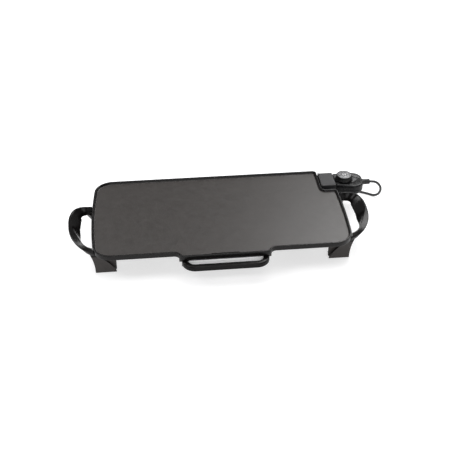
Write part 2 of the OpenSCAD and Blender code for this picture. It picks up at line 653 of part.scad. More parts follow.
module cord_tie() color([0.1, 0.1, 0.1]) translate([coil_x, coil_y + coil_r, 0]) difference() {
  h = cord_d * coil_turns;
  box([-3, -cord_r - 1.2, 0], [3, cord_r + 1.2, h + 0.8]);
  box([-4, -cord_r - 0.3, -1], [4, cord_r + 0.3, h]);
}
module plug_body() color(rubber) translate([0, coil_y - coil_r, plug_z]) difference() {
  union() {
    translate([plug_x, 0, 0]) rotate([0, -90, 0]) cylinder(r1 = cord_r + 1.4, r2 = 5.4, h = 14);
    box([plug_x - 36, -11, -plug_z + 0.2], [plug_x - 14, 11, plug_z - 0.2]);
    for (s = [-1, 1]) rod_z(-plug_z + 0.2, plug_z - 0.2, plug_x - 14, s * 6, 5);
  }
  rod_x(plug_x - 3, plug_x + 1, 0, 0, cord_r);
}
module plug_blades() color(steel) for (s = [-1, 1])
  translate([plug_x - 36, coil_y - coil_r + s * 6.35, plug_z])
    box([-17, -0.75, -3.15], [0, 0.75, 3.15]);

set_in_place() griddle_plate();
set_in_place() heating_element();
set_in_place() element_clamps();
set_in_place() clamp_screws();
set_in_place() terminal_pins();
set_in_place() terminal_bushings();
set_in_place() socket_guard();
set_in_place() guard_screws();
set_in_place() handle_brackets();
set_in_place() bracket_screws();
set_in_place() tray_rails();
set_in_place() rail_screws();
set_in_place() left_handle();
set_in_place() left_latch();
set_in_place() left_foot_pads();
set_in_place() right_handle();
set_in_place() right_latch();
set_in_place() right_foot_pads();
set_in_place() drip_tray();
set_in_place() tray_faceplate();
set_in_place() tray_grip();
set_in_place() grip_rivets();
set_in_place() control_base();
set_in_place() control_cover();
set_in_place() sensing_probe();
set_in_place() contact_sockets();
set_in_place() thermostat_switch();
set_in_place() pilot_lens();
set_in_place() housing_screws();
set_in_place() strain_relief();
set_in_place() power_cord();
set_in_place() cord_coil();
set_in_place() cord_tie();
set_in_place() plug_body();
set_in_place() plug_blades();
set_in_place() control_knob();
set_in_place() dial_face();
set_in_place() knob_shaft();
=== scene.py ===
"""Electric griddle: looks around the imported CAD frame. Lengths in mm about the plate's middle,
turned into metres in the row frame by at()."""
import json
import math

import bmesh
import bpy
from mathutils import Matrix, Vector


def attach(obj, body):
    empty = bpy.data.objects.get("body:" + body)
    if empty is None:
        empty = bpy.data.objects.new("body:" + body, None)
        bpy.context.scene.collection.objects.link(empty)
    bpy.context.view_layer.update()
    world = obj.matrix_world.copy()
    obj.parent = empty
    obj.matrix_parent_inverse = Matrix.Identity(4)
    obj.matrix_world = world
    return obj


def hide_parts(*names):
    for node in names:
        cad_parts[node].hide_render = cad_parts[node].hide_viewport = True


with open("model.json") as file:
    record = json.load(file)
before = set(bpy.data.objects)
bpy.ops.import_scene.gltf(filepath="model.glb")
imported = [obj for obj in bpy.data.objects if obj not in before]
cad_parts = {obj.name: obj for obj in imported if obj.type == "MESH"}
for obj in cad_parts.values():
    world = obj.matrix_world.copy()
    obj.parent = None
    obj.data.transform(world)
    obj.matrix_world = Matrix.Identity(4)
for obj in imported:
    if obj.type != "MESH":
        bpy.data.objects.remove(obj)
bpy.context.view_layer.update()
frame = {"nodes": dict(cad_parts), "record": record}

NODES = frame["nodes"]
PLACE_X, PLACE_Y = -16.5, 19.25
MM = 0.001


def at(x, y, z):
    """A point given in mm about the plate's middle, in metres in the row frame."""
    return Vector(((x + PLACE_X) * MM, (y + PLACE_Y) * MM, z * MM))


def linked(name, data):
    ob = bpy.data.objects.new(name, data)
    bpy.context.scene.collection.objects.link(ob)
    return ob


# ---------------------------------------------------------------- camera
CAMERA_PLACE = (-0.1587, -1.5221, 1.1304)
CAMERA_TILT, CAMERA_PAN = 54.484, -5.776
cam_data = bpy.data.cameras.new("camera")
cam_data.sensor_width = 36.0
cam_data.lens = 68.0
cam_data.clip_end = 60.0
camera = linked("camera", cam_data)
camera.location = CAMERA_PLACE
camera.rotation_euler = (math.radians(CAMERA_TILT), 0.0, math.radians(CAMERA_PAN))
bpy.context.scene.camera = camera


# ---------------------------------------------------------------- materials
def shade(name, base, rough, rough_vary=0.05, tint=0.18, scale=90.0, grain=0.0, grain_scale=900.0,
          metallic=0.0, specular=0.5, brushed=None, speck=0.0,
          speck_colour=(0.3, 0.3, 0.3)):
    """A procedural finish: cloudy tint, uneven roughness, fine bump, optional brushing and specks."""
    mat = bpy.data.materials.new(name)
    mat.use_nodes = True
    nt = mat.node_tree
    bsdf = nt.nodes["Principled BSDF"]
    bsdf.inputs["Metallic"].default_value = metallic
    bsdf.inputs["Specular IOR Level"].default_value = specular
    coords = nt.nodes.new("ShaderNodeTexCoord")
    source = coords.outputs["Object"]
    if brushed:
        mapping = nt.nodes.new("ShaderNodeMapping")
        mapping.inputs["Scale"].default_value = brushed
        nt.links.new(source, mapping.inputs["Vector"])
        brush_source = mapping.outputs["Vector"]
    else:
        brush_source = source

    def noise(freq, detail, src):
        n = nt.nodes.new("ShaderNodeTexNoise")
        n.inputs["Scale"].default_value = freq
        n.inputs["Detail"].default_value = detail
        nt.links.new(src, n.inputs["Vector"])
        return n.outputs["Fac"]

    def ramp(fac, lo, hi, a, b):
        r = nt.nodes.new("ShaderNodeValToRGB")
        r.color_ramp.elements[0].position = lo
        r.color_ramp.elements[1].position = hi
        r.color_ramp.elements[0].color = (*a, 1)
        r.color_ramp.elements[1].color = (*b, 1)
        nt.links.new(fac, r.inputs["Fac"])
        return r.outputs["Color"]

    dark = [c * (1 - tint) for c in base]
    light = [min(1.0, c * (1 + tint)) for c in base]
    colour = ramp(noise(scale, 3.0, brush_source), 0.32, 0.68, dark, light)
    if speck:
        flecks = ramp(noise(speck, 1.0, source), 0.60, 0.72, (0, 0, 0), (1, 1, 1))
        mix = nt.nodes.new("ShaderNodeMix")
        mix.data_type = "RGBA"
        nt.links.new(flecks, mix.inputs["Factor"])
        nt.links.new(colour, mix.inputs["A"])
        mix.inputs["B"].default_value = (*speck_colour, 1)
        colour = mix.outputs["Result"]
    nt.links.new(colour, bsdf.inputs["Base Color"])
    spread = nt.nodes.new("ShaderNodeMapRange")
    spread.inputs["From Min"].default_value = 0.3
    spread.inputs["From Max"].default_value = 0.7
    spread.inputs["To Min"].default_value = max(0.02, rough - rough_vary)
    spread.inputs["To Max"].default_value = rough + rough_vary
    nt.links.new(noise(scale * 1.7, 4.0, brush_source), spread.inputs["Value"])
    nt.links.new(spread.outputs["Result"], bsdf.inputs["Roughness"])
    if grain:
        bump = nt.nodes.new("ShaderNodeBump")
        bump.inputs["Strength"].default_value = grain
        bump.inputs["Distance"].default_value = 0.0003
        nt.links.new(noise(grain_scale, 2.0, brush_source if brushed else source), bump.inputs["Height"])
        nt.links.new(bump.outputs["Normal"], bsdf.inputs["Normal"])
    return mat


M = {
    "coated_casting": shade("coated_casting", (0.0212, 0.0178, 0.0161), 0.40, 0.04, 0.08, 40, 0.25, 1400,
                            specular=0.44, speck=1500, speck_colour=(0.058, 0.052, 0.049)),
    "handle_plastic": shade("handle_plastic", (0.0032, 0.0028, 0.0028), 0.20, 0.03, 0.15, 60, 0.05, 1600,
                            specular=0.12),
    "control_plastic": shade("control_plastic", (0.0060, 0.0060, 0.0064), 0.27, 0.04, 0.15, 80, 0.08, 1500,
                             specular=0.20),
    "knob_plastic": shade("knob_plastic", (0.0025, 0.0025, 0.0025), 0.16, 0.03, 0.15, 120, 0.04, 1500,
                          specular=0.26),
    "guard_plastic": shade("guard_plastic", (0.0100, 0.0100, 0.0108), 0.44, 0.04, 0.12, 80, 0.15, 1500,
                           specular=0.34),
    "steel": shade("steel", (0.55, 0.55, 0.56), 0.34, 0.08, 0.12, 120, 0.15, 600, metallic=1.0,
                   brushed=(1.0, 6.0, 1.0)),
    "element_sheath": shade("element_sheath", (0.20, 0.185, 0.175), 0.45, 0.10, 0.30, 50, 0.2, 900,
                            metallic=0.9),
    "pin_metal": shade("pin_metal", (0.68, 0.62, 0.48), 0.26, 0.06, 0.10, 200, 0.1, 900, metallic=1.0),
    "ceramic": shade("ceramic", (0.78, 0.76, 0.70), 0.55, 0.08, 0.05, 200, 0.2, 900),
    "tray_metal": shade("tray_metal", (0.022, 0.022, 0.023), 0.38, 0.05, 0.15, 70, 0.2, 1000),
    "bright_panel": shade("bright_panel", (0.95, 0.95, 0.955), 0.30, 0.02, 0.004, 30, 0.01, 800,
                          metallic=0.15),
    "probe_metal": shade("probe_metal", (0.70, 0.70, 0.72), 0.28, 0.05, 0.08, 150, 0.1, 700,
                         metallic=1.0, brushed=(1.0, 8.0, 8.0)),
    "dial_metal": shade("dial_metal", (0.095, 0.095, 0.098), 0.36, 0.05, 0.08, 300, 0.15, 2500,
                        metallic=0.5),
    "dial_print": shade("dial_print", (0.55, 0.55, 0.55), 0.45, 0.05, 0.04, 300, 0.1, 2000),
    "smoke_lens": shade("smoke_lens", (0.040, 0.040, 0.042), 0.34, 0.03, 0.2, 200, 0.05, 1500),
    # the rim's copy of the coating: darker as painted shade, a little smoother as a real finish
    "rim_coating_painted_shade": shade("rim_coating_painted_shade", (0.0042, 0.0036, 0.0036), 0.27, 0.03, 0.12, 50, 0.06, 1400,
                         specular=0.2),
    # leg_panel: the handle plastic made matter as a real finish, and lighter as painted light
    "leg_panel": shade("leg_panel", (0.030, 0.026, 0.0245), 0.50, 0.05, 0.12, 60, 0.20, 1500, specular=0.3),
    "black_rubber": shade("black_rubber", (0.016, 0.016, 0.0165), 0.50, 0.06, 0.2, 120, 0.25, 1500),
}
# the CAD nodes that stay visible take the same finishes
for sub in frame["record"]["subparts"]:
    ob = NODES[sub["node"]]
    mat = M[sub["material_slot"]]
    if not ob.data.materials:
        ob.data.materials.append(mat)
    for slot in ob.material_slots:
        slot.material = mat


# ---------------------------------------------------------------- mesh helpers
def new_object(name, verts, faces):
    mesh = bpy.data.meshes.new(name)
    mesh.from_pydata(verts, [], faces)
    mesh.validate()
    return linked(name, mesh)


def join(ob, other):
    """Adds other's mesh to ob and removes other."""
    bm = bmesh.new()
    bm.from_mesh(ob.data)
    bm.from_mesh(other.data)
    bm.to_mesh(ob.data)
    bm.free()
    bpy.data.objects.remove(other)


def tidy_normals(ob, angle=40.0):
    """Welds a mesh, turns its faces outwards and keeps edges steeper than angle sharp."""
    bm = bmesh.new()
    bm.from_mesh(ob.data)
    bmesh.ops.remove_doubles(bm, verts=bm.verts, dist=1e-6)
    bmesh.ops.recalc_face_normals(bm, faces=bm.faces)
    bm.to_mesh(ob.data)
    bm.free()
    ob.data.shade_smooth()
    ob.data.set_sharp_from_angle(angle=math.radians(angle))


def dress(ob, body, slot, *stands_for, mat=None):
    """Gives a piece its finish, named by mat or else by slot, puts it on its body and hides the CAD nodes it
    stands for.
    """
    ob.data.materials.clear()
    ob.data.materials.append(M[mat or slot])
    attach(ob, body)
    if stands_for:
        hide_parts(*stands_for)
    return ob


class Shells:
    """Closed shells collected in mm and made into one object."""

    def __init__(self):
        self.verts, self.faces = [], []

    def rings(self, rings, cap=True, closed=False):
        """Skins rings of equal count; closed joins the last to the first."""
        n, start = len(rings[0]), len(self.verts)
        for r in rings:
            self.verts += [tuple(p) for p in r]
        pairs = list(range(len(rings) - 1)) + ([len(rings) - 1] if closed else [])
        for k in pairs:
            a, b = start + k * n, start + ((k + 1) % len(rings)) * n
            for j in range(n):
                self.faces.append((a + j, a + (j + 1) % n, b + (j + 1) % n, b + j))
        if cap and not closed:
            self.faces.append(tuple(start + j for j in reversed(range(n))))
            self.faces.append(tuple(start + (len(rings) - 1) * n + j for j in range(n)))

    def prism(self, outline, z0, z1, axis="z"):
        """An outline carried from z0 to z1 along the named axis."""
        def lift(p, z):
            return (p[0], p[1], z) if axis == "z" else (p[0], z, p[1]) if axis == "y" else (z, p[0], p[1])
        self.rings([[lift(p, z0) for p in outline], [lift(p, z1) for p in outline]])

    def box(self, a, b):
        self.prism([(a[0], a[1]), (b[0], a[1]), (b[0], b[1]), (a[0], b[1])], a[2], b[2])

    def rod(self, a, b, r, n):
        a, b = Vector(a), Vector(b)
        d = (b - a).normalized()
        u = d.orthogonal().normalized()
        v = d.cross(u)
        turn = [2 * math.pi * k / n for k in range(n)]
        self.rings([[a + r * (math.cos(t) * u + math.sin(t) * v) for t in turn],
                    [b + r * (math.cos(t) * u + math.sin(t) * v) for t in turn]])

    def lathe(self, centre, profile, n=48, axis="z"):
        """profile: (radius, height) from one end to the other."""
        rings = []
        for r, h in profile:
            ring = []
            for k in range(n):
                t = 2 * math.pi * k / n
                c, s = r * math.cos(t), r * math.sin(t)
                ring.append((centre[0] + c, centre[1] + s, centre[2] + h) if axis == "z"
                            else (centre[0] + h, centre[1] + c, centre[2] + s))
            rings.append(ring)
        self.rings(rings)

    def stack(self, outline, profile):
        """outline(inset) gives points; profile is (inset, z) from one end to the other."""
        self.rings([[(x, y, z) for x, y in outline(i)] for i, z in profile])

    def make(self, name, mirror=False):
        s = -1 if mirror else 1
        ob = new_object(name, [at(s * x, y, z) for x, y, z in self.verts], self.faces)
        tidy_normals(ob)
        return ob


def cut(ob, cutter):
    """Takes the cutter's shape out of ob."""
    mod = ob.modifiers.new("cut", "BOOLEAN")
    mod.operation, mod.solver, mod.object = "DIFFERENCE", "EXACT", cutter
    mod.use_self = True
    bake(ob)
    bpy.data.objects.remove(cutter)


def bake(ob):
    """Makes the modifiers' result the object's own mesh."""
    mesh = bpy.data.meshes.new_from_object(ob.evaluated_get(bpy.context.evaluated_depsgraph_get()))
    ob.modifiers.clear()
    old, ob.data = ob.data, mesh
    bpy.data.meshes.remove(old)
    mesh.name = ob.name


def mould(ob, voxel, rounds=4, keep=1.0):
    """Fuses a piece's shells and rounds their edges, as in a moulding."""
    mod = ob.modifiers.new("fuse", "REMESH")
    mod.mode, mod.voxel_size, mod.use_smooth_shade = "VOXEL", voxel * MM, True
    mod = ob.modifiers.new("soften", "SMOOTH")
    mod.factor, mod.iterations = 0.5, rounds
    if keep < 1:
        mod = ob.modifiers.new("thin", "DECIMATE")
        mod.ratio = keep
    bake(ob)
    ob.data.shade_smooth()
    return ob


def copy_node(name):
    """A copy of a CAD node's mesh, to be rounded."""
    ob = linked(name + "_moulded", NODES[name].data.copy())
    tidy_normals(ob)
    return ob


def arc(cx, cy, r, a0, a1, n):
    """n + 1 points on a circle from angle a0 to a1, in degrees."""
    return [(cx + r * math.cos(math.radians(a0 + (a1 - a0) * k / n)),
             cy + r * math.sin(math.radians(a0 + (a1 - a0) * k / n))) for k in range(n + 1)]


def catmull(points, sub):
    """A smooth curve through the points, with sub steps between each two."""
    out, last = [], len(points) - 1
    for k in range(last * sub + 1):
        a, t = divmod(k, sub)
        t /= sub
        p0, p1, p2, p3 = (points[max(0, min(last, a + d))] for d in (-1, 0, 1, 2))
        out.append([0.5 * (2 * q1 + (q2 - q0) * t + (2 * q0 - 5 * q1 + 4 * q2 - q3) * t * t
                           + (3 * q1 - q0 - 3 * q2 + q3) * t ** 3)
                    for q0, q1, q2, q3 in zip(p0, p1, p2, p3)])
    return out


def round_poly(points, radius, n=3):
    """A closed polygon with each corner rounded by radius."""
    out, m = [], len(points)
    for k in range(m):
        p, a, b = Vector(points[k]), Vector(points[k - 1]), Vector(points[(k + 1) % m])
        da, db = a - p, b - p
        r = min(radius, da.length * 0.45, db.length * 0.45)
        s, e = p + da.normalized() * r, p + db.normalized() * r
        for j in range(n + 1):
            t = j / n
            out.append(tuple((1 - t) ** 2 * s + 2 * t * (1 - t) * p + t * t * e))
    return out


# ---------------------------------------------------------------- cord
CORD_D = 5.8
# from the strain relief, down to the table behind the control, then along the back
ROUTE = [[345, 96, 57], [363, 96, 57], [378, 96, 54.5], [389, 97, 44], [394, 101, 29], [392, 109, 12],
         [383, 117, 3.5], [368, 128, 2.9], [348, 138, 2.9], [322, 145, 2.9], [290, 149, 2.9],
         [250, 151, 2.9], [210, 151, 2.9], [170, 151, 2.9]]
COIL_X, COIL_Y, COIL_R, COIL_STEPS = 170.0, 183.0, 32.0, 48
# two turns: the second climbs on to the first, then steps aside to leave the coil
CLIMB_AT, ASIDE_AT, STEP_TURNS = 0.86, 1.80, 0.14
coil = []
for k in range(1, 2 * COIL_STEPS + 1):
    turn = k / COIL_STEPS
    first = min(1.0, max(0.0, (turn - CLIMB_AT) / STEP_TURNS))
    aside = min(1.0, max(0.0, (turn - ASIDE_AT) / STEP_TURNS))
    lift = first * first * (3 - 2 * first)
    angle = math.radians(-90 - 360 * turn)
    radius = COIL_R + CORD_D * math.sin(math.pi / 2 * aside)
    coil.append([COIL_X + radius * math.cos(angle), COIL_Y + radius * math.sin(angle),
                 CORD_D * (0.5 + lift)])
TAIL = [[156, 146.2, 8.4], [142, 149, 7.8], [130, 151, 7.2], [114, 151, 7.2]]
cord_line = catmull(ROUTE, 8) + coil + catmull([coil[-1]] + TAIL, 6)[1:]
cord_path = [at(x, y, max(z, CORD_D / 2)) for x, y, z in cord_line]
curve = bpy.data.curves.new("power_cord_lead", "CURVE")
curve.dimensions = "3D"
curve.bevel_depth = CORD_D / 2 * MM
curve.bevel_resolution = 5
spline = curve.splines.new("POLY")
spline.points.add(len(cord_path) - 1)
for point, p in zip(spline.points, cord_path):
    point.co = (*p, 1)
cord_ob = linked("power_cord_lead", curve)
dress(cord_ob, "heat_control", "black_rubber", "power_cord", "cord_coil")

sh = Shells()
band = [(math.cos(math.radians(a)), math.sin(math.radians(a))) for a in range(0, 360, 15)]
TIE_HALF, TIE_IN, TIE_EDGE, TIE_OUT = 3.0, 3.0, 3.5, 3.8


def band_ring(x, r):
    """One edge of the tie round both turns of the coil, flat where it lies on the table."""
    ring = []
    for c, s in band:
        half = CORD_D / 2 if s > 1e-6 else -CORD_D / 2 if s < -1e-6 else 0
        ring.append((x, COIL_Y + COIL_R + c * r, max(CORD_D + half + s * r, (3.9 - r) * 0.3)))
    return ring


tie_edges = [(-TIE_HALF, TIE_IN), (-TIE_HALF, TIE_EDGE), (0.4 - TIE_HALF, TIE_OUT),
             (TIE_HALF - 0.4, TIE_OUT), (TIE_HALF, TIE_EDGE), (TIE_HALF, TIE_IN)]
sh.rings([band_ring(COIL_X + x, r) for x, r in tie_edges], closed=True)
sh.box((COIL_X - 2.2, COIL_Y + COIL_R + 3.2, 5.0), (COIL_X + 2.2, COIL_Y + COIL_R + 4.6, 8.5))
tie = dress(sh.make("cord_tie_strap"), "heat_control", "black_rubber", "cord_tie")

# the plug's sleeve gets four rings and each of its sides five finger ribs
PLUG_Y, PLUG_Z, RIB_SIDE = 151, 7.2, 10.4
plug = copy_node("plug_body")
sh = Shells()
for k in range(4):
    sh.rod((121 - 3.2 * k, PLUG_Y, PLUG_Z), (119.4 - 3.2 * k, PLUG_Y, PLUG_Z), 4.9 + 0.3 * k, 32)
for s in (-1, 1):
    for k in range(5):
        rib_y = PLUG_Y + s * RIB_SIDE
        sh.box((91 + 3 * k, rib_y - 0.5, 3), (92.6 + 3 * k, rib_y + 0.5, 11.4))
join(plug, sh.make("plug_ribs"))
plug.name = "plug_moulding"
dress(mould(plug, 0.45, 3), "heat_control", "black_rubber", "plug_body")


# ---------------------------------------------------------------- plate
HW, HD, BOW_R, CORNER, SMALL = 279.5, 143.5, 1400.0, 42.0, 9.0
NOTCH_X, NOTCH_Y, RIM_T, RIM_Z, FLOOR_Z, UNDER_Z, WALL_Z = 244.0, 62.0, 4.5, 65.0, 60.0, 54.5, 54.0
BULGE_X, BULGE_RUN, BULGE_H = 85.5, 22.0, 14.5
BULGE_R = (BULGE_RUN ** 2 + BULGE_H ** 2) / (4 * BULGE_H)
BULGE_Y = HD + BULGE_H


def arc_x(r, y):
    """Where a circle of radius r that touches the bowed side from inside has its middle, at height y."""
    return HW - BOW_R + math.sqrt((BOW_R - r) ** 2 - y * y)


def side_angle(y):
    """Angle of the bowed side's normal where a corner arc at height y meets it."""
    return math.degrees(math.asin(y / (BOW_R - CORNER)))


def plate_outline(i):
    """The plate's outline drawn in by i, clockwise seen from above, from the back left."""
    cy = HD - CORNER
    cx = arc_x(CORNER, cy)
    ex, ey = arc_x(SMALL, NOTCH_Y - SMALL), NOTCH_Y - SMALL
    a = side_angle(cy)
    b = math.degrees(math.asin(ey / (BOW_R - SMALL)))
    swing = math.degrees(math.asin(BULGE_RUN / 2 / BULGE_R))
    out = arc(-cx, cy, CORNER - i, 180 - a, 90, 22)
    out += [(-120, HD - i), (0, HD - i), (120, HD - i)]
    out += arc(NOTCH_X - SMALL, HD - SMALL, SMALL - i, 90, 0, 10)
    out += arc(NOTCH_X + SMALL, NOTCH_Y + SMALL, SMALL + i, 180, 270, 10)
    out += arc(ex, ey, SMALL - i, 90, b, 10)
    out += [(HW - BOW_R + (BOW_R - i) * math.cos(math.radians(t)), (BOW_R - i) * math.sin(math.radians(t)))
            for t in [b - (a + b) * k / 16 for k in range(1, 16)]]
    out += arc(cx, -cy, CORNER - i, -a, -90, 22)
    right = []
    right += arc(BULGE_X + BULGE_RUN, -(HD + BULGE_R), BULGE_R + i, 90, 90 + swing, 8)
    right += arc(BULGE_X, -(BULGE_Y - BULGE_R), BULGE_R - i, -90 + swing, -90, 8)
    out += right
    out += [(40, -(BULGE_Y - i)), (0, -(BULGE_Y - i)), (-40, -(BULGE_Y - i))]
    out += [(-x, y) for x, y in reversed(right)]
    out += arc(-cx, -cy, CORNER - i, -90, -180 + a, 22)
    out += [(-(HW - BOW_R + (BOW_R - i) * math.cos(math.radians(t))), (BOW_R - i) * math.sin(math.radians(t)))
            for t in [-a + 2 * a * k / 16 for k in range(1, 16)]]
    return out


# (inset, height) round the skirt, the rim's rounded top and the fillet down to the cooking surface
RIM_PROFILE = [(9.0, UNDER_Z), (5.6, UNDER_Z), (5.0, UNDER_Z - 0.05), (4.5, WALL_Z + 0.2), (4.1, WALL_Z),
               (0.9, WALL_Z), (0.35, WALL_Z + 0.2), (0.08, WALL_Z + 0.6), (0.0, WALL_Z + 1.2),
               (0.0, 57.5), (0.0, 60.0), (0.0, 63.3), (0.1, 64.0), (0.45, 64.6), (1.0, 64.92), (1.6, RIM_Z),
               (2.8, RIM_Z), (3.4, 64.92), (3.95, 64.6), (4.3, 64.0), (4.5, 63.2), (4.7, 62.2), (5.0, 61.3),
               (5.5, 60.7), (6.1, 60.3), (6.8, 60.07), (7.6, FLOOR_Z), (8.4, FLOOR_Z), (9.5, FLOOR_Z)]
sh = Shells()
sh.stack(plate_outline, RIM_PROFILE)
plate = sh.make("griddle_plate_casting")
# drain slot, and the boss round it under the plate
SLOT_Y, SLOT_X, SLOT_R, BOSS_X = -149, 27.5, 2.5, 34
sh = Shells()
slot_2d = arc(SLOT_X, SLOT_Y, SLOT_R, -90, 90, 8) + arc(-SLOT_X, SLOT_Y, SLOT_R, 90, 270, 8)
sh.prism(slot_2d, 48, 70)
cut(plate, sh.make("slot_cutter"))
tidy_normals(plate, 30)
sh = Shells()
boss = round_poly([(-BOSS_X, -153.2), (BOSS_X, -153.2), (BOSS_X, -142), (-BOSS_X, -142)], 2.5)
inner = [(x * 0.94, SLOT_Y + (y - SLOT_Y) * 0.7) for x, y in boss]
sh.rings([[(x, y, z) for x, y in ring] for ring, z in
          ((boss, 54.6), (boss, 52.3), (boss, 51.5), (inner, 51.5), (inner, 54.6))], cap=False)
for s in (-1, 1):
    lug = round_poly([(s * 89, -149.5), (s * 96.5, -149.5), (s * 96.5, -141.5), (s * 89, -141.5)], 1.5)
    sh.rings([[(x, y, z) for x, y in lug] for z in (45.0, 45.6, 54.8)])
# x, y and whether turned a quarter: each clamp of the element has two screw bosses
CLAMPS = [(-80, 104, 0), (70, 104, 0), (-195, 0, 1), (170, -5, 1), (-128, -103, 0), (112, -103, 0)]
for x, y, quarter in CLAMPS:
    for s in (-1, 1):
        px, py = (x, y + 14 * s) if quarter else (x + 14 * s, y)
        sh.lathe((px, py, 0), [(5.6, 54.6), (5.15, 53.8), (5.0, 53.0), (5.0, 46.8), (4.7, 46.5)], 28)
AXIS_Y, PROBE_Z = 93.0, 50.5
sh.lathe((0, AXIS_Y, PROBE_Z), [(6.5, 184.3), (6.5, 186), (6.5, 241)], 32, axis="x")
bosses = sh.make("plate_bosses")
dress(plate, "griddle", "coated_casting", "griddle_plate")
# the rim and the skirt take a smoother, darker copy of the plate's coating: the smoothness is a real finish,
# the darkness is painted shade, as the whole plate is one casting
plate.data.materials.append(M["rim_coating_painted_shade"])
for face in plate.data.polygons:
    height = face.center.z / MM
    if height > FLOOR_Z + 0.2 or (height > WALL_Z - 0.1 and abs(face.normal.z) < 0.5):
        face.material_index = 1
dress(bosses, "griddle", "coated_casting")
dress(mould(copy_node("socket_guard"), 0.5, 3, 0.4), "griddle", "guard_plastic", "socket_guard")


# ---------------------------------------------------------------- end handles
# x, y, top width, lean of the inner and of the outer face, fall of the top's outer edge, underside
BOW = [[265, 46, 3.5, 2, 0, 0, 45], [285, 46.5, 3.5, 3, 1, 0, 45], [306, 46.5, 3.5, 12, 3, 0, 46],
       [320, 37, 3.5, 18, 7, 0, 46], [327.5, 19, 4, 22, 10, 0, 46], [330, 0, 4.5, 22.5, 11, 0, 46],
       [329.6, -22, 6, 20, 11, 0, 46], [327.5, -44, 11, 15, 9, 0.5, 46.5], [322, -66, 14, 8, 7, 1.5, 50],
       [313, -86, 14, 3, 8, 2.5, 52], [302, -102, 12, 1, 7.5, 3.5, 51], [289, -114, 11, 0, 4, 4, 50.5],
       [271, -123, 11, 0, 2, 4, 49.5]]
BOW_Z = 64.0


def bow_rings():
    """The bow's sections from its back end round to the front leg."""
    stations = catmull(BOW, 14)
    rings = []
    for k, (x, y, w, lean_in, lean_out, drop, zb) in enumerate(stations):
        a, b = stations[max(0, k - 1)], stations[min(len(stations) - 1, k + 1)]
        d = Vector((b[0] - a[0], b[1] - a[1])).normalized()
        n = Vector((d.y, -d.x))
        zo, wi, wo = BOW_Z - drop, w + lean_in, lean_out
        section = round_poly([(w, BOW_Z), (0, zo), (wo, zb), (wi, zb)], 1.3, 4)
        rings.append([(x + n.x * q, y + n.y * q, z) for q, z in section])
    return rings


LEG_IN, FOOT_W, FOOT_Z, FRONT_Y, BACK_Y = 228.0, 45.0, 1.0, -114.0, 128.0


def leg_2d(top, ear):
    """Both edges of a leg's face from the foot up: rounded inside, flaring outside up to the ear."""
    left, right = [], []
    for k in range(33):
        z = FOOT_Z + (ear - FOOT_Z) * k / 32
        half = math.sqrt(max(0.0, 75 ** 2 - (z + 24.6) ** 2))
        inner = LEG_IN + 70.4 - half
        flare = LEG_IN + FOOT_W + 119 - math.sqrt(119 ** 2 - (z - 5) ** 2)
        left.append((LEG_IN + 38 if z > top else min(inner, LEG_IN + 38) if z > 30 else inner, z))
        right.append((flare, z))
    return left, right


def leg(sh, face, s, top, ear):
    """s is 1 where the leg lies behind its face and -1 where it lies in front of it."""
    left, right = leg_2d(top, ear)

    def span(a, b):
        return sorted((face + s * a, face + s * b))

    sh.prism(left + right[::-1], *span(0, 4), axis="y")
    outer = [p for p in right if p[0] > LEG_IN + 32 and p[1] <= top + 0.1]
    sh.prism(outer + [(p[0] - 3.5, p[1]) for p in reversed(outer)], *span(0, 26), axis="y")
    web = [(LEG_IN + u, face + s * v) for u, v in ((36, 3), (34, 5), (0, 9), (0, 13), (5, 13), (36, 9))]
    sh.prism(web, FOOT_Z, top - 3)
    sole, shoulder = span(2, 24), span(1, 26)
    sh.box((LEG_IN + 2, sole[0], FOOT_Z), (LEG_IN + 44, sole[1], FOOT_Z + 3.5))
    sh.box((LEG_IN + 17, shoulder[0], top - 4), (LEG_IN + 42, shoulder[1], top - 0.3))


bow_shell = Shells()
bow_shell.rings(bow_rings())
bow_ob = bow_shell.make("bow")
sh = Shells()
sh.prism(plate_outline(-0.45), WALL_Z - 0.5, 90)
cut(bow_ob, sh.make("plate_cutter"))
# legs, strip under the plate's edge, two tongues, rail to the back leg, fillet and web into the bow
sh = Shells()
leg(sh, FRONT_Y, 1, 42, WALL_Z - 1)
leg(sh, BACK_Y, -1, 38, 38)
sh.box((252, FRONT_Y + 4, 40), (273, 50, 50))
for y in (-70, 30):
    sh.box((210, y - 12, 44), (253, y + 12, 49))
sh.box((240, 28, 28), (262, 124, 38))
sh.box((252, 28, 28), (262, 50, 50))
sh.prism([(270, 49), (292, 44), (284, 30), (273, 12), (270, 12)], 41, 50)
sh.box((252, FRONT_Y + 2, 38), (271, FRONT_Y + 20, 50))
handle = sh.make("right_handle_moulding")
join(handle, bow_ob)
mould(handle, 0.7, 8, 0.4)
mirrored = handle.data.copy()
mirrored.transform(Matrix.Translation(at(0, 0, 0)) @ Matrix.Scale(-1, 4, (1, 0, 0))
                   @ Matrix.Translation(-at(0, 0, 0)))
mirrored.flip_normals()
mirrored.shade_smooth()
left_handle = linked("left_handle_moulding", mirrored)
dress(handle, "right_end", "handle_plastic", "right_handle")
dress(left_handle, "left_end", "handle_plastic", "left_handle")
# the legs' flat front and back faces take a matter copy of the handle plastic that is also much lighter: the
# matter finish is real, the lightness is painted light, the light these faces catch
for ob in (handle, left_handle):
    ob.data.materials.append(M["leg_panel"])
    for face in ob.data.polygons:
        outward = abs(face.center.y / MM - PLACE_Y) > 95 and face.center.z < 43 * MM
        if outward and abs(face.normal.y) > 0.75:
            face.material_index = 1
FOOT_PROFILE = [(6.1, 0), (6.7, 0.1), (7.0, 0.4), (7.0, 1.0), (3.0, 1.0), (3.0, 5.9)]
for side, s in (("left", -1), ("right", 1)):
    sh = Shells()
    for y in (FRONT_Y + 13, BACK_Y - 13):
        sh.lathe((LEG_IN + 23, y, 0), FOOT_PROFILE, 36)
    dress(sh.make(side + "_feet", mirror=s < 0), side + "_end", "black_rubber", side + "_foot_pads")


